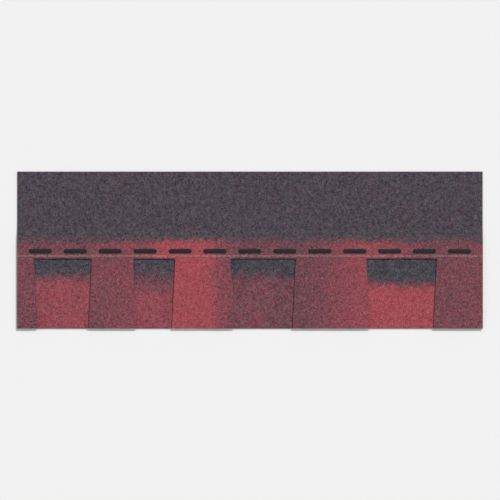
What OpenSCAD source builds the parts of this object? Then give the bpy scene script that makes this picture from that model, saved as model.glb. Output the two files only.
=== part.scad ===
// Laminated asphalt roof shingle, lying on a level floor with its granule face up.
// X runs along the shingle, Y from the butt edge up to the top edge, Z up.
// The origin is on the floor, under the middle of the outline.

/* [Outline] */
// Length of the shingle along its course
shingle_length = 1000; // [960:1:1060]
// Height of the shingle, from the butt edge to the top edge
shingle_height = 337; // [300:1:360]

/* [Tooth sheet] */
// Thickness of the upper sheet, granules included
sheet_t = 2.8; // [2.2:0.1:3.6]
// Depth of the cutouts, from the butt edge to their upper end
cutout_depth = 150; // [130:1:158]
// Widening of a tooth on each cut side, from its root to the butt edge
tooth_flare = 7; // [0:0.5:10]
// Radius of the cutouts' upper corners
corner_r = 3; // [0.5:0.5:8]
// Length over which the sheet slopes down from the backing strip to the floor
slope_length = 46; // [30:1:80]

/* [Widths at the root, left to right] */
// First tooth, at the left end
tooth_1_w = 36; // [25:1:50]
// First cutout
cutout_1_w = 124; // [110:1:130]
// Second tooth
tooth_2_w = 89; // [80:1:95]
// Second cutout
cutout_2_w = 90; // [80:1:95]
// Third tooth
tooth_3_w = 119; // [110:1:125]
// Third cutout
cutout_3_w = 140; // [125:1:145]
// Fourth tooth
tooth_4_w = 152; // [140:1:160]
// Fourth cutout. The tooth at the right end takes the rest of the length
cutout_4_w = 151; // [140:1:160]

/* [Backing strip] */
// Thickness of the lower sheet, granules included
backing_t = 2.7; // [2.2:0.1:3.6]
// Height of the backing strip, from the butt edge
backing_height = 180; // [176:1:200]

/* [Laminating adhesive] */
// Thickness of the pressed adhesive between the sheets
glue_t = 0.4; // [0.2:0.1:1]
// Width of each adhesive line
glue_line_w = 12; // [6:1:18]
// Distance between the lines under the teeth
glue_pitch = 45; // [30:1:55]
// Number of lines under the teeth
glue_lines = 3; // [1:1:3]
// Middle of the lowest line, from the butt edge
glue_first_y = 15; // [10:1:25]
// Distance of a line's ends from the sides of its tooth
glue_setback = 4; // [1:0.5:8]

/* [Sealant strip] */
// Length of one sealant dash
dash_length = 50; // [30:1:60]
// Distance from one dash to the next, middle to middle
dash_pitch = 75; // [66:1:90]
// Width of a dash
dash_w = 10; // [6:0.5:12]
// Height of a dash at its crown
dash_h = 0.9; // [0.6:0.1:1.5]
// Height of a dash at its sides
dash_side_h = 0.35; // [0.2:0.05:0.5]
// Middle of the dashes, from the butt edge
dash_y = 166; // [164:1:169]
// Least distance from the outer dashes to the shingle's ends
dash_end_gap = 20; // [10:1:40]

/* [Release film] */
// Width of the film on the back
film_w = 20; // [14:1:22]
// Thickness of the film, pressed flush into the backing
film_t = 0.1; // [0.05:0.01:0.2]
// Middle of the film, from the butt edge
film_y = 168.5; // [160:0.5:168.5]

/* [Hidden] */

left_x = -shingle_length / 2;
butt_y = -shingle_height / 2;
lift = backing_t + glue_t;          // underside of the sheet where it lies on the backing
face_z = lift + sheet_t;            // granule face over the backing
slope_start = backing_height + 2;   // the sheet runs level just past the backing's edge
slope_steps = 14;
corner_steps = 5;
through = 1;                        // how far a cut runs past the faces it opens

widths = [tooth_1_w, cutout_1_w, tooth_2_w, cutout_2_w, tooth_3_w, cutout_3_w, tooth_4_w, cutout_4_w];
function run(n) = n == 0 ? 0 : widths[n - 1] + run(n - 1);
n_cutouts = len(widths) / 2;
n_teeth = n_cutouts + 1;

// Root corners of the cutouts: each has its left and right end along X
function cutout_left(i) = left_x + run(2 * i + 1);
function cutout_right(i) = left_x + run(2 * i + 2);

// How far a tooth's cut side leans out at height y above the butt edge
function lean(y) = tooth_flare * (1 - y / cutout_depth);

// Ends of tooth i at height y; the outer teeth end square with the shingle
function tooth_left(i, y) = i == 0 ? left_x : cutout_right(i - 1) - lean(y);
function tooth_right(i, y) = i == n_teeth - 1 ? left_x + shingle_length : cutout_left(i) + lean(y);

// Arc that rounds a cutout's upper corner, from angle a to angle b about its centre
function corner_arc(x, y, a, b) =
    [for (k = [0 : corner_steps]) let (t = a + (b - a) * k / corner_steps)
        [x + corner_r * cos(t), y + corner_r * sin(t)]];

// Outline of one cutout, run past the butt edge so that it opens there
module cutout_outline(i) {
    low = -through;
    polygon(concat(
        [[cutout_left(i) + lean(low), butt_y + low]],
        [[cutout_right(i) - lean(low), butt_y + low]],
        corner_arc(cutout_right(i) - corner_r, butt_y + cutout_depth - corner_r, 0, 90),
        corner_arc(cutout_left(i) + corner_r, butt_y + cutout_depth - corner_r, 90, 180)));
}

// Height of the sheet's underside over the floor, at distance y above the butt edge
function under_z(y) =
    y <= slope_start ? lift
    : y >= slope_start + slope_length ? 0
    : lift * (1 + cos(180 * (y - slope_start) / slope_length)) / 2;

// Section of the upper sheet across its height: level on the backing, then down to the floor
module sheet_section() {
    stations = concat([0],
        [for (k = [0 : slope_steps]) slope_start + slope_length * k / slope_steps],
        [shingle_height]);
    n = len(stations);
    polygon(concat(
        [for (y = stations) [butt_y + y, under_z(y)]],
        [for (k = [n - 1 : -1 : 0]) [butt_y + stations[k], under_z(stations[k]) + sheet_t]]));
}

// Upper sheet: one die-cut sheet whose teeth hang from the solid headlap
module tooth_sheet() {
    color([0.55, 0.24, 0.28])
    difference() {
        rotate([90, 0, 90]) linear_extrude(shingle_length, center = true) sheet_section();
        for (i = [0 : n_cutouts - 1])
            translate([0, 0, lift - through])
                linear_extrude(sheet_t + 2 * through) cutout_outline(i);
    }
}

// Strip along X, from y to y + w above the butt edge and from z to z + t
module strip(x0, x1, y, w, z, t) {
    translate([x0, butt_y + y, z]) cube([x1 - x0, w, t]);
}

// Lower sheet: a plain strip that closes the cutouts from below, with a shallow seat for the film
module backing_strip() {
    right_x = left_x + shingle_length;
    color([0.33, 0.2, 0.24])
    difference() {
        strip(left_x, right_x, 0, backing_height, 0, backing_t);
        strip(left_x - through, right_x + through, film_y - film_w / 2, film_w,
            -through, through + film_t);
    }
}

// Pressed lines of asphalt adhesive: short ones under each tooth, one long one above the cutouts
module laminating_adhesive() {
    long_y = (cutout_depth + backing_height - glue_line_w) / 2;
    color([0.06, 0.06, 0.06]) {
        for (i = [0 : n_teeth - 1], k = [0 : glue_lines - 1]) {
            y = glue_first_y + k * glue_pitch - glue_line_w / 2;
            strip(tooth_left(i, y + glue_line_w) + glue_setback,
                tooth_right(i, y + glue_line_w) - glue_setback,
                y, glue_line_w, backing_t, glue_t);
        }
        strip(left_x + glue_setback, left_x + shingle_length - glue_setback,
            long_y, glue_line_w, backing_t, glue_t);
    }
}

// One dash of sealant, with round ends and a domed crown
module sealant_dash() {
    rise = dash_h - dash_side_h;
    dome_r = dash_w * dash_w / (8 * rise) + rise / 2;
    end_x = (dash_length - dash_w) / 2;
    intersection() {
        linear_extrude(dash_h) union() {
            square([2 * end_x, dash_w], center = true);
            for (side = [-1, 1]) translate([side * end_x, 0]) circle(d = dash_w, $fn = 48);
        }
        translate([0, 0, dash_h - dome_r]) rotate([0, 90, 0])
            cylinder(r = dome_r, h = dash_length + 2 * through, center = true, $fn = 180);
    }
}

// Row of dashes on the face, over the backing, as many as the length takes
module sealant_strip() {
    n_dashes = 1 + floor((shingle_length - 2 * dash_end_gap - dash_length) / dash_pitch);
    color([0.05, 0.05, 0.055])
    for (k = [0 : n_dashes - 1])
        translate([(k - (n_dashes - 1) / 2) * dash_pitch, butt_y + dash_y, face_z]) sealant_dash();
}

// Clear film that keeps the next shingle in the stack from sticking, flush with the back
module release_film() {
    color([0.75, 0.77, 0.8])
    strip(left_x, left_x + shingle_length, film_y - film_w / 2, film_w, 0, film_t);
}

tooth_sheet();
backing_strip();
laminating_adhesive();
sealant_strip();
release_film();
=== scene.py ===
import math

import bmesh
import bpy
import mathutils
import numpy as np
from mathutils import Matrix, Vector
from mathutils.bvhtree import BVHTree


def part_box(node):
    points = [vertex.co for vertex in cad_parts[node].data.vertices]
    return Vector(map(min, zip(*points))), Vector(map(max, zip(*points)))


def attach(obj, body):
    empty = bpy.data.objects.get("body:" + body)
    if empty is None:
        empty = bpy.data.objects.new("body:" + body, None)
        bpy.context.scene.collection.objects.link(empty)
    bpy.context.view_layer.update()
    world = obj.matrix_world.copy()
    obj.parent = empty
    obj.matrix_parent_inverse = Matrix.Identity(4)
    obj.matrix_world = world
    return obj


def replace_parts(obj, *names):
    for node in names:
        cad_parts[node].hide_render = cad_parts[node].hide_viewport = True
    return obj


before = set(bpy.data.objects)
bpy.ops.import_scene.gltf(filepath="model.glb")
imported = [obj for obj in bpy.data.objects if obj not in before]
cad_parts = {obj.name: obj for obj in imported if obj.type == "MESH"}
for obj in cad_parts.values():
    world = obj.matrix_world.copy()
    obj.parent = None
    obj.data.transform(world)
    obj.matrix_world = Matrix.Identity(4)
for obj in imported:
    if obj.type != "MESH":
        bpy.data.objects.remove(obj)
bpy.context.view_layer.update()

# The studio: a pale matt floor under a pale sky, with one soft sun from the upper right,
# and a long lens that looks straight down, so that the courses run level as on a roof.
MM = 0.001
FLOOR_HALF = 60
FLOOR_PAINT, FLOOR_ROUGHNESS = (0.86, 0.86, 0.86, 1), 0.95
PICTURE_WIDTH = 1.075
LENS, SENSOR = 135, 36
FARTHEST_SEEN = 200
SUN_FROM = (0.5, 0.78, 0.72)
SUN_STRENGTH = 2.7
SUN_SPREAD = math.radians(9)
SKY = (0.5, 0.5, 0.5, 1)


def put(tree, kind, inputs=None, **settings):
    """Adds a shader node, sets its own properties and fills its inputs with values or sockets."""
    made = tree.nodes.new("ShaderNode" + kind)
    for name, value in settings.items():
        setattr(made, name, value)
    for name, value in (inputs or {}).items():
        if isinstance(value, bpy.types.NodeSocket):
            tree.links.new(value, made.inputs[name])
        else:
            made.inputs[name].default_value = value
    return made


def new_material(name):
    """A material with an empty tree and its output node."""
    made = bpy.data.materials.new(name)
    made.use_nodes = True
    made.node_tree.nodes.clear()
    return made, made.node_tree, made.node_tree.nodes.new("ShaderNodeOutputMaterial")


floor_mesh = bmesh.new()
bmesh.ops.create_grid(floor_mesh, x_segments=1, y_segments=1, size=FLOOR_HALF)
floor_data = bpy.data.meshes.new("floor")
floor_mesh.to_mesh(floor_data)
floor_mesh.free()
floor = bpy.data.objects.new("floor", floor_data)
bpy.context.scene.collection.objects.link(floor)
floor_finish, tree, out = new_material("floor_paint")
paint = put(tree, "BsdfPrincipled", {"Base Color": FLOOR_PAINT, "Roughness": FLOOR_ROUGHNESS})
tree.links.new(paint.outputs[0], out.inputs["Surface"])
floor_data.materials.append(floor_finish)

world = bpy.data.worlds.new("sky")
bpy.context.scene.world = world
world.use_nodes = True
world.node_tree.nodes["Background"].inputs["Color"].default_value = SKY

sun_data = bpy.data.lights.new("sun", "SUN")
sun_data.energy = SUN_STRENGTH
sun_data.angle = SUN_SPREAD
sun = bpy.data.objects.new("sun", sun_data)
sun.rotation_euler = Vector(SUN_FROM).to_track_quat("Z", "Y").to_euler()
bpy.context.scene.collection.objects.link(sun)

camera_data = bpy.data.cameras.new("camera")
camera_data.lens, camera_data.sensor_width = LENS, SENSOR
camera_data.clip_end = FARTHEST_SEEN
camera = bpy.data.objects.new("camera", camera_data)
camera.location = (0, 0, PICTURE_WIDTH * LENS / SENSOR)
bpy.context.scene.collection.objects.link(camera)
bpy.context.scene.camera = camera
bpy.context.scene.view_settings.view_transform = "Standard"


# The backing strip: a plain sheet of asphalt-coated glass mat with pressed-in mineral granules,
# which shows through the cutouts. Its upper part is faced with slate-dark granules, so that each
# cutout looks deep, and the rest with drops of the red and maroon blends.
BACKING_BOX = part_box("backing_strip")
BACKING_T = BACKING_BOX[1].z
SHEET_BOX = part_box("tooth_sheet")
LEFT, BUTT = SHEET_BOX[0].x, SHEET_BOX[0].y
LENGTH = SHEET_BOX[1].x - SHEET_BOX[0].x
RIM_WEAR = 0.7 * MM

# A blend is its share of red: its granules stray from it, to slate at 0 and to red at 1, and past either
# end fewer of them do. Drops are given in mm from the shingle's left end. The slate band comes in about
# its middle, in mm above the butt edge, over the height of its fade, and both stay under the highest.
BRIGHT, WARM, MIXED, MAROON, DARK = 1.15, 0.745, 0.57, 0.40, 0.32
BACKING_DROPS = [(20, MIXED), (60, WARM), (150, WARM), (240, WARM), (335, 0.68), (450, MAROON),
                 (520, MAROON), (560, DARK), (610, DARK), (740, BRIGHT), (910, BRIGHT)]
BAND_MIDDLES = [(100, 116), (190, 114), (290, 112), (400, 115), (520, 121), (690, 107), (820, 95)]
BAND_FADES = [(100, 56), (190, 80), (290, 118), (400, 80), (520, 46), (690, 46), (820, 46)]
BAND_HIGHEST = 200
BAND_SHARE = -0.45

# Colours, and how far granules stray from them: in redness, in hue, and on slate and on red granules
# in shade, by the dust that a clump shares, and by dust of their own.
SLATE_BLUE, SLATE_BROWN = (0.039, 0.050, 0.075, 1), (0.079, 0.060, 0.070, 1)
RED_DEEP, RED_PALE = (0.35, 0.049, 0.064, 1), (0.49, 0.094, 0.122, 1)
BLACKEST = (0.010, 0.010, 0.011)
REDNESS_STRAY, HUE_STRAY = 0.4, 0.7
SHADES, DUST, OWN_DUST = (0.76, 0.28), (0.040, 0.027), (0.020, 0.030)

# Noise is soft, ragged or torn by how many finer layers it has. Here are the sizes of mottles in cycles
# a metre, how far they push the blends, and the range that the dust's own noise keeps to.
SOFT, RAGGED, TORN = 2, 3, 4
SHARE_CLUMPS, SHARE_CLOUDS, HUE_CLUMPS, DUST_CLUMPS = 160, 28, 130, 185
CLUMP_PUSH, CLOUD_PUSH = 0.09, 0.125
DROP_SIDES, DROP_STRETCH, DROP_SWAY = 60, (1, 0.3, 1), 20 * MM
BAND_EDGE, BAND_SWAY = 70, 13 * MM
DUST_RANGE = (0.25, 0.75)

# The pressed layer: granules with asphalt in the gaps between them and a fine grain on each.
GRANULE = 1.35 * MM
GAP, GAP_DEPTH = (0.55, 0.85), 0.75
GRAIN, GRAIN_RISE = 2600, 0.35

# The cut sides and the sanded back.
ASPHALT = (0.016, 0.015, 0.015, 1)
FILLER = (0.075, 0.070, 0.066, 1)
SAND = (0.15, 0.14, 0.125, 1)
MAT_FIBRE = (0.20, 0.18, 0.15, 1)
SPECKS, SPECK_RANGE, SPECK_RISE = 900, (0.5, 0.7), 0.4
MAT_BAND = (0.1 * MM, 0.3 * MM)
MAT_FRAYS, MAT_FRAY = 350, 0.3 * MM
SAND_GRAINS, SAND_GAP = 1900, (0.4, 0.8)
SAND_DRIFTS, DRIFT_STRETCH, DRIFT_RANGE = 18, (1, 2.5, 1), (0.3, 0.7)
SAND_COVER, SAND_PALENESS, SAND_HIDES = (0.15, 0.65), (0.5, 1.4), 0.75
RIM_CHIPS = 0.4
FACE_TURNS, BACK_TURNS = (0.45, 0.75), (-0.5, -0.8)
SIDE_ROUGHNESS, FACE_ROUGHNESS = 0.55, 0.88
SHEET_RELIEF, SHEET_BUMP = 0.45 * MM, 0.9

# The map that a piece's colours are baked on when the model is exported. A sheet's granule face lies
# on it in two rows, its back in one, and its cut sides in a narrow one.
BAKE_MAP = "OFBake"
FACE_ROWS, BACK_ROW, SIDE_ROW = ((0.64, 0.995), (0.28, 0.635)), (0.035, 0.275), (0.005, 0.03)
MAP_MARGIN = 0.004

# A face is level or upright by the height of its normal. A CAD sheet's loose triangles are merged where
# their corners meet, and joined to one face where they are flat.
LEVEL, UPRIGHT = 0.9, 0.1
MEETS, FLAT = MM / 1000, math.radians(0.1)


def calc(tree, operation, *values, clamp=False):
    """The output of a Math node."""
    return put(tree, "Math", dict(enumerate(values)), operation=operation, use_clamp=clamp).outputs[0]


def mix(tree, share, low, high):
    """A colour between low and high."""
    node = put(tree, "Mix", data_type="RGBA")
    for socket, value in ((node.inputs[0], share), (node.inputs[6], low), (node.inputs[7], high)):
        if isinstance(value, bpy.types.NodeSocket):
            tree.links.new(value, socket)
        else:
            socket.default_value = value
    return node.outputs[2]


def ranged(tree, value, low, high, to_low=0.0, to_high=1.0, kind="SMOOTHSTEP"):
    """Value from low to high made to run from to_low to to_high, and held past the ends."""
    inputs = {"Value": value, "From Min": low, "From Max": high, "To Min": to_low, "To Max": to_high}
    return put(tree, "MapRange", inputs, interpolation_type=kind).outputs[0]


def swing(tree, value, reach):
    """A value from 0 to 1 made to swing about zero, by up to reach either way."""
    return ranged(tree, value, 0, 1, -reach, reach, "LINEAR")


def noise(tree, place, scale, layers=SOFT, stretch=(1, 1, 1)):
    """Noise from about 0 to 1, with scale in cycles a metre."""
    spread = put(tree, "VectorMath", {0: place, 1: stretch}, operation="MULTIPLY").outputs[0]
    return put(tree, "TexNoise", {"Vector": spread, "Scale": scale, "Detail": layers}).outputs[0]


def coat(tree, out, colour, roughness, relief, depth, strength, more=None):
    """Joins a finish to its output: colour, roughness, a bump of the given depth, and any more inputs."""
    bump = put(tree, "Bump", {"Height": relief, "Distance": depth, "Strength": strength})
    inputs = {"Base Color": colour, "Roughness": roughness, "Normal": bump.outputs[0]}
    skin = put(tree, "BsdfPrincipled", {**inputs, **(more or {})})
    tree.links.new(skin.outputs[0], out.inputs["Surface"])


def along(tree, spot_x, stops, top=1.0):
    """A value of up to top that eases from stop to stop along the shingle."""
    place = calc(tree, "DIVIDE", calc(tree, "SUBTRACT", spot_x, LEFT), LENGTH)
    ramp = put(tree, "ValToRGB", {"Fac": place})
    ramp.color_ramp.interpolation = "EASE"
    elements = ramp.color_ramp.elements
    while len(elements) < len(stops):
        elements.new(0.5)
    for element, (x, value) in zip(elements, stops):
        element.position = x * MM / LENGTH
        element.color = (value / top, value / top, value / top, 1)
    return calc(tree, "MULTIPLY", ramp.outputs[0], top)


def blend_share(tree, spot, drops):
    """Share of red at a spot, from drops with ragged sides and a clumped mottle, and the spot's parts."""
    parts = put(tree, "SeparateXYZ", {0: spot})
    sway = swing(tree, noise(tree, spot, DROP_SIDES, RAGGED, DROP_STRETCH), DROP_SWAY)
    share = along(tree, calc(tree, "ADD", parts.outputs[0], sway), drops)
    clumps = swing(tree, noise(tree, spot, SHARE_CLUMPS), CLUMP_PUSH)
    clouds = swing(tree, noise(tree, spot, SHARE_CLOUDS), CLOUD_PUSH)
    return calc(tree, "ADD", share, calc(tree, "ADD", clumps, clouds)), parts


def stray(tree, redness, value, reaches):
    """A value from 0 to 1 made to swing by the first reach on slate granules and the second on red ones."""
    reach = ranged(tree, redness, 0, 1, *reaches, "LINEAR")
    return calc(tree, "MULTIPLY", swing(tree, value, 1), reach)


def granule_colour(tree, spot, draw, share):
    """Colour of one granule: about as red as its blend, and unlike its neighbours in each of its draws.
    The digits further down in the last draw serve as a fourth one."""
    chance = put(tree, "SeparateXYZ", {0: draw}).outputs
    redness = calc(tree, "ADD", share, swing(tree, chance[0], -REDNESS_STRAY), clamp=True)
    batch = swing(tree, noise(tree, spot, HUE_CLUMPS), HUE_STRAY)
    hue = calc(tree, "ADD", chance[1], batch, clamp=True)
    slate = mix(tree, hue, SLATE_BLUE, SLATE_BROWN)
    red = mix(tree, hue, RED_DEEP, RED_PALE)
    shade = calc(tree, "ADD", 1.0, stray(tree, redness, chance[2], SHADES))
    shaded = put(tree, "VectorMath", {0: mix(tree, redness, slate, red), "Scale": shade}, operation="SCALE")
    clump = ranged(tree, noise(tree, spot, DUST_CLUMPS), *DUST_RANGE, kind="LINEAR")
    own = calc(tree, "FRACT", calc(tree, "MULTIPLY", chance[2], 7.0))
    dust = calc(tree, "ADD", stray(tree, redness, clump, DUST), stray(tree, redness, own, OWN_DUST))
    dusted = put(tree, "VectorMath", {0: shaded.outputs[0], 1: dust}, operation="ADD").outputs[0]
    return put(tree, "VectorMath", {0: dusted, 1: BLACKEST}, operation="MAXIMUM").outputs[0]


def backing_colour(tree, spot, draw):
    """Granules of the backing strip: its drops, and the slate band towards the upper end of the cutouts."""
    share, parts = blend_share(tree, spot, BACKING_DROPS)
    height = calc(tree, "SUBTRACT", parts.outputs[1], BUTT)
    wobble = swing(tree, noise(tree, spot, BAND_EDGE, RAGGED), BAND_SWAY)
    middle = calc(tree, "MULTIPLY", along(tree, parts.outputs[0], BAND_MIDDLES, BAND_HIGHEST), MM)
    half = calc(tree, "MULTIPLY", along(tree, parts.outputs[0], BAND_FADES, BAND_HIGHEST), MM / 2)
    above = calc(tree, "SUBTRACT", calc(tree, "ADD", height, wobble), middle)
    band = ranged(tree, calc(tree, "DIVIDE", above, half), -1, 1)
    return granule_colour(tree, spot, draw, ranged(tree, band, 0, 1, share, BAND_SHARE, "LINEAR"))


def pressed_granules(tree, place, colour_of):
    """The sheet's own granules, side by side in asphalt: their colour and how far they rise."""
    cells = put(tree, "TexVoronoi", {"Vector": place, "Scale": 1 / GRANULE})
    colour = colour_of(tree, cells.outputs["Position"], cells.outputs["Color"])
    gap = calc(tree, "MULTIPLY", ranged(tree, cells.outputs["Distance"], *GAP), GAP_DEPTH)
    dome = calc(tree, "SUBTRACT", 1.0, cells.outputs["Distance"])
    grain = calc(tree, "MULTIPLY", noise(tree, place, GRAIN), GRAIN_RISE)
    return mix(tree, gap, colour, ASPHALT), calc(tree, "ADD", dome, grain)


def sheet_finish(name, colour_of, thickness, underside=None):
    """A cut sheet: granules above, asphalt and glass mat on its sides, sanded asphalt below."""
    made, tree, out = new_material(name)
    place = put(tree, "TexCoord")
    where, facing = place.outputs["Object"], place.outputs["Normal"]
    up = put(tree, "SeparateXYZ", {0: facing}).outputs[2]
    face, relief = pressed_granules(tree, where, colour_of)

    speck = noise(tree, where, SPECKS)
    side = mix(tree, ranged(tree, speck, *SPECK_RANGE), ASPHALT, FILLER)
    parts = put(tree, "SeparateXYZ", {0: where})
    mat = thickness / 2
    if underside is not None:
        mat = calc(tree, "ADD", underside(tree, parts.outputs[1]), mat)
    frayed = swing(tree, noise(tree, where, MAT_FRAYS, RAGGED), MAT_FRAY)
    off = calc(tree, "ADD", calc(tree, "SUBTRACT", parts.outputs[2], mat), frayed)
    fibres = ranged(tree, calc(tree, "ABSOLUTE", off), *MAT_BAND, 1, 0)
    side = mix(tree, calc(tree, "MULTIPLY", fibres, speck), side, MAT_FIBRE)

    sand = put(tree, "TexVoronoi", {"Vector": where, "Scale": SAND_GRAINS})
    grain = put(tree, "SeparateXYZ", {0: sand.outputs["Color"]}).outputs
    drifts = noise(tree, where, SAND_DRIFTS, TORN, DRIFT_STRETCH)
    cover = ranged(tree, drifts, *DRIFT_RANGE, *SAND_COVER)
    paler = ranged(tree, grain[1], 0, 1, *SAND_PALENESS, "LINEAR")
    grains = put(tree, "VectorMath", {0: SAND[:3], "Scale": paler}, operation="SCALE").outputs[0]
    sanded = calc(tree, "MULTIPLY", calc(tree, "LESS_THAN", grain[0], cover), SAND_HIDES)
    back = mix(tree, sanded, FILLER, grains)
    back = mix(tree, ranged(tree, sand.outputs["Distance"], *SAND_GAP), back, ASPHALT)

    is_face = ranged(tree, calc(tree, "ADD", up, swing(tree, speck, RIM_CHIPS)), *FACE_TURNS)
    is_back = ranged(tree, up, *BACK_TURNS)
    colour = mix(tree, is_back, mix(tree, is_face, side, face), back)
    roughness = ranged(tree, is_face, 0, 1, SIDE_ROUGHNESS, FACE_ROUGHNESS, "LINEAR")
    granular = calc(tree, "MULTIPLY", relief, is_face)
    height = calc(tree, "ADD", granular, calc(tree, "MULTIPLY", speck, SPECK_RISE))
    coat(tree, out, colour, roughness, height, SHEET_RELIEF, SHEET_BUMP)
    return made


def lay_on_map(sheet, low, high):
    """Lays a sheet's faces on its bake map, by where they are and which way they look."""
    layer = sheet.loops.layers.uv.new(BAKE_MAP)
    for face in sheet.faces:
        half = int(face.calc_center_median().x > (low.x + high.x) / 2)
        for loop in face.loops:
            x, y, z = ((loop.vert.co[i] - low[i]) / (high[i] - low[i]) for i in range(3))
            if face.normal.z > UPRIGHT:
                u, v, row = 2 * x - half, y, FACE_ROWS[half]
            elif face.normal.z < -UPRIGHT:
                u, v, row = x, y, BACK_ROW
            else:
                u, v, row = x if abs(face.normal.y) > abs(face.normal.x) else y, z, SIDE_ROW
            loop[layer].uv = (MAP_MARGIN + (1 - 2 * MAP_MARGIN) * u, row[0] + v * (row[1] - row[0]))


def add_piece(name, mesh, finish):
    """A new object for a finished mesh, which rides on the shingle."""
    mesh.materials.append(finish)
    piece = bpy.data.objects.new(name, mesh)
    bpy.context.scene.collection.objects.link(piece)
    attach(piece, "root")
    return piece


def cut_sheet(name, node, finish, stones_proud=0.0):
    """A sheet in place of its CAD node, with the upper rim of its cut edges worn round. Its face lies
    lower by what the stones add to its thickness."""
    sheet = bmesh.new()
    sheet.from_mesh(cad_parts[node].data)
    bmesh.ops.remove_doubles(sheet, verts=sheet.verts, dist=MEETS)
    bmesh.ops.dissolve_limit(sheet, angle_limit=FLAT, verts=sheet.verts, edges=sheet.edges)
    face_corners = [v for v in sheet.verts if any(face.normal.z > LEVEL for face in v.link_faces)]
    bmesh.ops.translate(sheet, verts=face_corners, vec=(0, 0, -stones_proud))
    rim = []
    for edge in sheet.edges:
        lean = sorted(face.normal.z for face in edge.link_faces)
        if lean[-1] > LEVEL and abs(lean[0]) < UPRIGHT:
            rim.append(edge)
    bmesh.ops.bevel(sheet, geom=rim, offset=RIM_WEAR, offset_type="OFFSET", segments=3, profile=0.5,
                    affect="EDGES", material=-1, clamp_overlap=True)
    low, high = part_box(node)
    bmesh.ops.bisect_plane(sheet, geom=sheet.verts[:] + sheet.edges[:] + sheet.faces[:],
                           plane_co=(low + high) / 2, plane_no=(1, 0, 0))
    bmesh.ops.triangulate(sheet, faces=sheet.faces)
    lay_on_map(sheet, low, high)
    mesh = bpy.data.meshes.new(name)
    sheet.to_mesh(mesh)
    sheet.free()
    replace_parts(add_piece(name, mesh, finish), node)


backing_finish = sheet_finish("backing_granules", backing_colour, BACKING_T)
cut_sheet("backing_sheet", "backing_strip", backing_finish)

# The proud granules: all over a sheet, larger crushed stones stand out of the pressed layer.
# They are shot onto hot asphalt and rolled in, so each is sunk by its foot. Some are broken flat on
# top and some come to a peak.
STONE_SHAPES = 16
STONE_PITCH = 2.0 * MM
STONE_JITTER = ((0.0, 0.7), (0.1, 0.9))
STONE_WIDTH = (1.0 * MM, 2.0 * MM)
STONE_RISE = (0.28 * MM, 0.56 * MM)
STONE_ROUGHNESS = 0.8
STONE_GRAIN, STONE_RELIEF, STONE_BUMP = 3000, 0.1 * MM, 0.8
CUTOUT_EDGE_KEPT = 0.9 * MM
CUTOUT_BEDS = [("lower_cutout_granules", 0, 75), ("upper_cutout_granules", 75, 150)]

# Each ring of a stone's corners has how many they are, how far out they reach and how high they stand.
STONE_FOOT = (3, (0.30, 0.42), (-0.5, -0.4))
BLOCKY = (STONE_FOOT, (4, (0.30, 0.50), (0.40, 1.0)))
PEAKED = (STONE_FOOT, (3, (0.38, 0.52), (0.20, 0.60)), (1, (0.0, 0.22), (0.9, 1.0)))
CORNER_JITTER = 0.3

# In its cell of the bake map, a stone's faces that look down lie in a low strip and the others above it.
# Each pair is a start and a width.
LOOKS_DOWN = -0.5
CELL_ACROSS, CELL_SUNK, CELL_SHOWN = (0.08, 0.84), (0.05, 0.1), (0.22, 0.7)
rng = np.random.default_rng(143)


def surface_of(node):
    """A node's faces, ready to be hit by a ray."""
    solid = bmesh.new()
    solid.from_mesh(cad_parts[node].data)
    tree = BVHTree.FromBMesh(solid)
    solid.free()
    return tree


def crushed_stone(rings):
    """One angular stone, a hull over jagged rings of corners: its corners, its faces and where each
    face's corners lie in the stone's cell of the bake map."""
    stone = bmesh.new()
    for points, reach, heights in rings:
        for k in range(points):
            angle = math.tau * (k + rng.uniform(-CORNER_JITTER, CORNER_JITTER)) / points
            out_by = rng.uniform(*reach)
            stone.verts.new((out_by * math.cos(angle), out_by * math.sin(angle), rng.uniform(*heights)))
    bmesh.ops.convex_hull(stone, input=stone.verts)
    bmesh.ops.triangulate(stone, faces=stone.faces)
    bmesh.ops.recalc_face_normals(stone, faces=stone.faces)
    stone.verts.index_update()
    corners = np.array([v.co for v in stone.verts])
    faces = np.array([[v.index for v in f.verts] for f in stone.faces])
    sunk = np.array([f.normal.z < LOOKS_DOWN for f in stone.faces])
    stone.free()
    cell = corners[faces][:, :, :2] + 0.5
    low_strip = CELL_SUNK[0] + CELL_SUNK[1] * cell[:, :, 1]
    high_strip = CELL_SHOWN[0] + CELL_SHOWN[1] * cell[:, :, 1]
    cell[:, :, 1] = np.where(sunk[:, None], low_strip, high_strip)
    cell[:, :, 0] = CELL_ACROSS[0] + CELL_ACROSS[1] * cell[:, :, 0]
    return corners, faces, cell.reshape(-1, 2)


def top_hit(x, y):
    """The node that a drop falling at x, y lands on, and how high it lands."""
    landed, best = None, -1.0
    for name, tree in surfaces.items():
        hit = tree.ray_cast(Vector((x, y, 1)), Vector((0, 0, -1)))[0]
        if hit is not None and hit.z > best:
            landed, best = name, hit.z
    return landed, best


def strewn_spots(node, margin, stones_proud=0.0):
    """Jittered spots of a triangular grid on a sheet's bare face, kept off its edges by the margin."""
    low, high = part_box(node)
    rise = STONE_PITCH * math.sqrt(0.75)
    row, column = np.mgrid[0:int((high.y - low.y) / rise), 0:int((high.x - low.x) / STONE_PITCH)]
    x = low.x + (column + 0.5 * (row % 2) + rng.uniform(*STONE_JITTER[0], row.shape)) * STONE_PITCH
    y = low.y + (row + rng.uniform(*STONE_JITTER[1], row.shape)) * rise
    steps = ((margin, 0), (-margin, 0), (0, margin), (0, -margin))
    spots = []
    for px, py in zip(x.ravel(), y.ravel()):
        landed, z = top_hit(px, py)
        if landed == node and all(top_hit(px + dx, py + dy)[0] == node for dx, dy in steps):
            spots.append((px, py, z - stones_proud))
    return np.array(spots)


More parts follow.
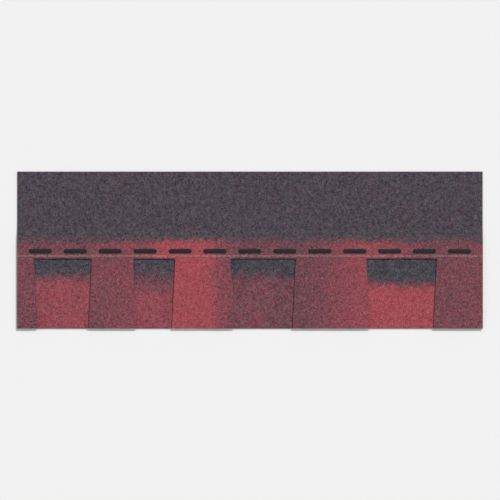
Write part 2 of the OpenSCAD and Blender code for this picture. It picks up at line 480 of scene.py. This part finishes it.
def lay_stones(name, spots, finish):
    """One piece of many sunk stones, each with its own shape, size, turn and cell of the bake map."""
    count = len(spots)
    shape = rng.integers(0, STONE_SHAPES, count)
    width = rng.uniform(*STONE_WIDTH, (count, 2))
    tall = rng.uniform(*STONE_RISE, count)
    turn = rng.uniform(0, 2 * math.pi, count)
    draws = rng.uniform(0, 1, (count, 3))
    side = math.ceil(math.sqrt(count))
    cells = np.stack([np.arange(count) % side, np.arange(count) // side], 1)
    all_corners, all_faces, all_places, owners = [], [], [], []
    reached = 0
    for k, (corners, faces, places) in enumerate(stones):
        mine = np.flatnonzero(shape == k)
        cos, sin = np.cos(turn[mine])[:, None], np.sin(turn[mine])[:, None]
        x = corners[:, 0] * width[mine, :1]
        y = corners[:, 1] * width[mine, 1:]
        placed = np.stack([x * cos - y * sin, x * sin + y * cos, corners[:, 2] * tall[mine, None]], 2)
        placed += spots[mine][:, None]
        starts = reached + np.arange(len(mine)) * len(corners)
        all_corners.append(placed.reshape(-1, 3))
        all_faces.append((faces[None] + starts[:, None, None]).reshape(-1, 3))
        all_places.append(((cells[mine][:, None] + places[None]) / side).reshape(-1, 2))
        owners.append(np.repeat(mine, len(corners)))
        reached += len(mine) * len(corners)
    owner = np.concatenate(owners)
    mesh = bpy.data.meshes.new(name)
    mesh.from_pydata(np.concatenate(all_corners).tolist(), [], np.concatenate(all_faces).tolist())
    for attribute, values in (("spot", spots[owner]), ("draw", draws[owner])):
        layer = mesh.attributes.new(attribute, "FLOAT_VECTOR", "POINT")
        layer.data.foreach_set("vector", values.astype(np.float32).ravel())
    bake_map = mesh.uv_layers.new(name=BAKE_MAP)
    bake_map.uv.foreach_set("vector", np.concatenate(all_places).astype(np.float32).ravel())
    add_piece(name, mesh, finish)


def stone_finish(name, colour_of):
    """Loose crushed stone with the ceramic coating of its blend; each stone carries its spot and draw."""
    made, tree, out = new_material(name)
    spot = put(tree, "Attribute", attribute_name="spot").outputs["Vector"]
    draw = put(tree, "Attribute", attribute_name="draw").outputs["Vector"]
    where = put(tree, "TexCoord").outputs["Object"]
    coat(tree, out, colour_of(tree, spot, draw), STONE_ROUGHNESS, noise(tree, where, STONE_GRAIN),
         STONE_RELIEF, STONE_BUMP)
    return made


def fill_beds(beds, spots, finish):
    """Lays the stones in beds, each a strip along the shingle between two heights in mm above the
    butt edge."""
    height = (spots[:, 1] - BUTT) / MM
    for name, from_height, to_height in beds:
        lay_stones(name, spots[(height >= from_height) & (height < to_height)], finish)


surfaces = {node: surface_of(node) for node in ("tooth_sheet", "backing_strip", "sealant_strip")}
stones = [crushed_stone((BLOCKY, PEAKED)[k % 2]) for k in range(STONE_SHAPES)]
fill_beds(CUTOUT_BEDS, strewn_spots("backing_strip", CUTOUT_EDGE_KEPT),
          stone_finish("backing_stones", backing_colour))

# The laminating adhesive: lines of hot asphalt, laid on the backing strip and pressed flat by the tooth
# sheet, which they hold. They keep back from the cut sides, and only a slit along a tooth shows them.
ADHESIVE_PALE = (0.03, 0.028, 0.027, 1)
ADHESIVE_ROUGHNESS = 0.4
ADHESIVE_PATCHES, ADHESIVE_STRINGS = 200, 500
ADHESIVE_RELIEF, ADHESIVE_BUMP = 0.2 * MM, 0.6


def dress(node, finish):
    """Gives a CAD node's own mesh its finish."""
    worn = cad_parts[node].data
    worn.materials.clear()
    worn.materials.append(finish)


adhesive, tree, out = new_material("laminating_asphalt")
where = put(tree, "TexCoord").outputs["Object"]
coat(tree, out, mix(tree, noise(tree, where, ADHESIVE_PATCHES), ASPHALT, ADHESIVE_PALE), ADHESIVE_ROUGHNESS,
     noise(tree, where, ADHESIVE_STRINGS, RAGGED), ADHESIVE_RELIEF, ADHESIVE_BUMP)
dress("laminating_adhesive", adhesive)

# The tooth sheet: one die-cut sheet of coated glass mat. Its teeth and the strip above them carry the
# red and maroon drops, its headlap the dark granules that the next course hides, and a painted line
# shows where the nails go.
SHEET_T = 2.8 * MM
LIFT = SHEET_BOX[1].z - SHEET_T
SLOPE_FROM = BACKING_BOX[1].y + 2 * MM
SLOPE_LENGTH = 46 * MM
TOOTH_DROPS = [(0, MAROON), (150, MAROON), (205, 0.5), (262, MIXED), (325, BRIGHT), (398, BRIGHT),
               (440, MIXED), (475, MAROON), (590, DARK), (640, MAROON), (690, MIXED), (730, WARM),
               (765, WARM), (890, MAROON), (1000, 0.45)]
HEADLAP_FROM, HEADLAP_TO = 178 * MM, 200 * MM
HEADLAP_EDGE, HEADLAP_SWAY = 90, 12 * MM
HEADLAP_SHARE = -0.16
NAIL_LINE, NAIL_LINE_W = 155.7 * MM, 2.4 * MM
LINE_PAINT = (0.40, 0.38, 0.37, 1)
LINE_WEAR, WEAR_RANGE, LINE_COVER = 260, (0.33, 0.6), (0.07, 0.5)
FACE_STONES_PROUD = 0.3 * MM
TOOTH_EDGE_KEPT = 0.45 * MM
FACE_BEDS = [("tooth_end_granules", 0, 75), ("tooth_root_granules", 75, 150),
             ("nail_zone_granules", 150, 212), ("middle_headlap_granules", 212, 275),
             ("top_headlap_granules", 275, 340)]


def tooth_colour(tree, spot, draw):
    """Granules of the tooth sheet: drops below, the headlap's dark mix above, and the painted line."""
    share, parts = blend_share(tree, spot, TOOTH_DROPS)
    height = calc(tree, "SUBTRACT", parts.outputs[1], BUTT)
    wobble = swing(tree, noise(tree, spot, HEADLAP_EDGE, RAGGED), HEADLAP_SWAY)
    headlap = ranged(tree, calc(tree, "ADD", height, wobble), HEADLAP_FROM, HEADLAP_TO)
    share = ranged(tree, headlap, 0, 1, share, HEADLAP_SHARE, "LINEAR")
    colour = granule_colour(tree, spot, draw, share)
    off = calc(tree, "ABSOLUTE", calc(tree, "SUBTRACT", height, NAIL_LINE))
    on_line = calc(tree, "LESS_THAN", off, NAIL_LINE_W / 2)
    cover = ranged(tree, noise(tree, spot, LINE_WEAR), *WEAR_RANGE, *LINE_COVER)
    return mix(tree, calc(tree, "MULTIPLY", on_line, cover), colour, LINE_PAINT)


def drape(tree, y):
    """Height of the sheet's underside over the floor: level on the backing strip, then down to
    the floor."""
    return ranged(tree, y, SLOPE_FROM, SLOPE_FROM + SLOPE_LENGTH, LIFT, 0)


face_finish = sheet_finish("granule_face", tooth_colour, SHEET_T, drape)
cut_sheet("die_cut_sheet", "tooth_sheet", face_finish, FACE_STONES_PROUD)
fill_beds(FACE_BEDS, strewn_spots("tooth_sheet", TOOTH_EDGE_KEPT, FACE_STONES_PROUD),
          stone_finish("face_stones", tooth_colour))

# The sealant strip: dashes of soft asphalt laid on hot. They crown as they cool, their outline wanders
# between the granules, and they keep a satin, slightly crawled skin.
DASH_POINTS = 30
DASH_SIDE_CUTS = 14
DASH_WALL = 0.3 * MM
CROWN_RINGS = ((0.95, 0.38), (0.84, 0.64), (0.66, 0.84), (0.42, 0.96), (0.16, 1.0))
DASH_WANDER, DASH_FLOW = 0.55 * MM, 230
DASH_SAG, DASH_SAG_FLOW = 0.12 * MM, 90
DASH_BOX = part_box("sealant_strip")
DASH_DARK, DASH_PALE = (0.009, 0.009, 0.010, 1), (0.018, 0.017, 0.017, 1)
DASH_ROUGHNESS, DASH_SHINE = (0.36, 0.54), 0.28
DASH_TINTS, DASH_SMEARS, SMEAR_RANGE = 400, 140, (0.35, 0.65)
DASH_WAVES, DASH_RIPPLES, RIPPLE_RISE = 220, 1100, 0.2
DASH_RELIEF, DASH_BUMP = 0.5 * MM, 0.7
mathutils.noise.seed_set(143)


def dash_ends():
    """Left and right end of each dash: the stretches along the shingle that the CAD node's faces cover."""
    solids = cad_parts["sealant_strip"].data
    reaches = [[solids.vertices[corner].co.x for corner in face.vertices] for face in solids.polygons]
    ends = []
    for left, right in sorted((min(xs), max(xs)) for xs in reaches):
        if ends and left < ends[-1][1] + MM:
            ends[-1][1] = max(ends[-1][1], right)
        else:
            ends.append([left, right])
    return ends


def raise_face(row, face, is_foot=False):
    """Extrudes a face and gives back the new one, which still lies on the old one's place. The old face
    stays only where it is a dash's foot."""
    raised = bmesh.ops.extrude_face_region(row, geom=[face])["geom"]
    if face.is_valid and not is_foot:
        bmesh.ops.delete(row, geom=[face], context="FACES_ONLY")
    return next(part for part in raised if isinstance(part, bmesh.types.BMFace))


def lay_dash(row, left, right):
    """Adds one dash: a round-ended outline, raised to a low wall and then drawn in ring by ring to
    its crown."""
    low, high = DASH_BOX
    radius, middle = (high.y - low.y) / 2, (low.y + high.y) / 2
    outline = bmesh.ops.create_circle(row, cap_ends=True, segments=DASH_POINTS, radius=radius)["verts"]
    for vert in outline:
        vert.co.x += math.copysign((right - left) / 2 - radius, vert.co.x) + (left + right) / 2
        vert.co += Vector((0, middle, low.z - FACE_STONES_PROUD))
    foot = outline[0].link_faces[0]
    long_sides = [edge for edge in foot.edges if edge.calc_length() > radius]
    bmesh.ops.bisect_edges(row, edges=long_sides, cuts=DASH_SIDE_CUTS)
    for vert in foot.verts:
        wander = mathutils.noise.noise_vector(vert.co * DASH_FLOW) * DASH_WANDER
        vert.co += Vector((wander.x, wander.y, 0))
    crown = raise_face(row, foot, is_foot=True)
    bmesh.ops.translate(row, verts=crown.verts, vec=(0, 0, FACE_STONES_PROUD + DASH_WALL))
    reached = 1
    for share, rise in CROWN_RINGS:
        crown = raise_face(row, crown)
        for vert in crown.verts:
            spine = Vector((min(max(vert.co.x, left + radius), right - radius), middle, vert.co.z))
            vert.co = spine + (vert.co - spine) * share / reached
            sag = mathutils.noise.noise(vert.co * DASH_SAG_FLOW) * DASH_SAG
            vert.co.z = low.z + DASH_WALL + (high.z - low.z - DASH_WALL + sag) * rise
        reached = share


row = bmesh.new()
for left, right in dash_ends():
    lay_dash(row, left, right)
bmesh.ops.recalc_face_normals(row, faces=row.faces)
for face in row.faces:
    face.smooth = face.normal.z > LOOKS_DOWN
dash_mesh = bpy.data.meshes.new("sealant_dashes")
row.to_mesh(dash_mesh)
row.free()

sealant, tree, out = new_material("sealant_asphalt")
where = put(tree, "TexCoord").outputs["Object"]
tint = mix(tree, noise(tree, where, DASH_TINTS, RAGGED), DASH_DARK, DASH_PALE)
roughness = ranged(tree, noise(tree, where, DASH_SMEARS, RAGGED), *SMEAR_RANGE, *DASH_ROUGHNESS)
ripples = calc(tree, "MULTIPLY", noise(tree, where, DASH_RIPPLES), RIPPLE_RISE)
crawl = calc(tree, "ADD", noise(tree, where, DASH_WAVES), ripples)
coat(tree, out, tint, roughness, crawl, DASH_RELIEF, DASH_BUMP, {"Specular IOR Level": DASH_SHINE})
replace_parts(add_piece("sealant_dashes", dash_mesh, sealant), "sealant_strip")

# The release film: a thin polyester tape on the back, pressed in flush and faintly crinkled.
# It darkens where it clings to the asphalt and looks silvery where it has let go.
FILM_LOOSE, FILM_CLINGING = (0.42, 0.43, 0.44, 1), (0.13, 0.13, 0.135, 1)
FILM_ROUGHNESS, FILM_SILVER = 0.24, 0.35
FILM_CREASES, CREASE_RISE = 60, 0.8
FILM_CRINKLES, CRINKLE_STRETCH = 160, (0.35, 1, 1)
FILM_PATCHES, PATCH_STRETCH, PATCH_RANGE = 75, (0.3, 1, 1), (0.42, 0.6)
FILM_RELIEF, FILM_BUMP = 0.8 * MM, 0.7

film, tree, out = new_material("polyester_film")
where = put(tree, "TexCoord").outputs["Object"]
creases = put(tree, "TexVoronoi", {"Vector": where, "Scale": FILM_CREASES}, feature="DISTANCE_TO_EDGE")
crinkles = noise(tree, where, FILM_CRINKLES, RAGGED, CRINKLE_STRETCH)
relief = calc(tree, "ADD", calc(tree, "MULTIPLY", creases.outputs[0], CREASE_RISE), crinkles)
clings = ranged(tree, noise(tree, where, FILM_PATCHES, TORN, PATCH_STRETCH), *PATCH_RANGE)
coat(tree, out, mix(tree, clings, FILM_LOOSE, FILM_CLINGING), FILM_ROUGHNESS, relief,
     FILM_RELIEF, FILM_BUMP, {"Metallic": FILM_SILVER})
dress("release_film", film)
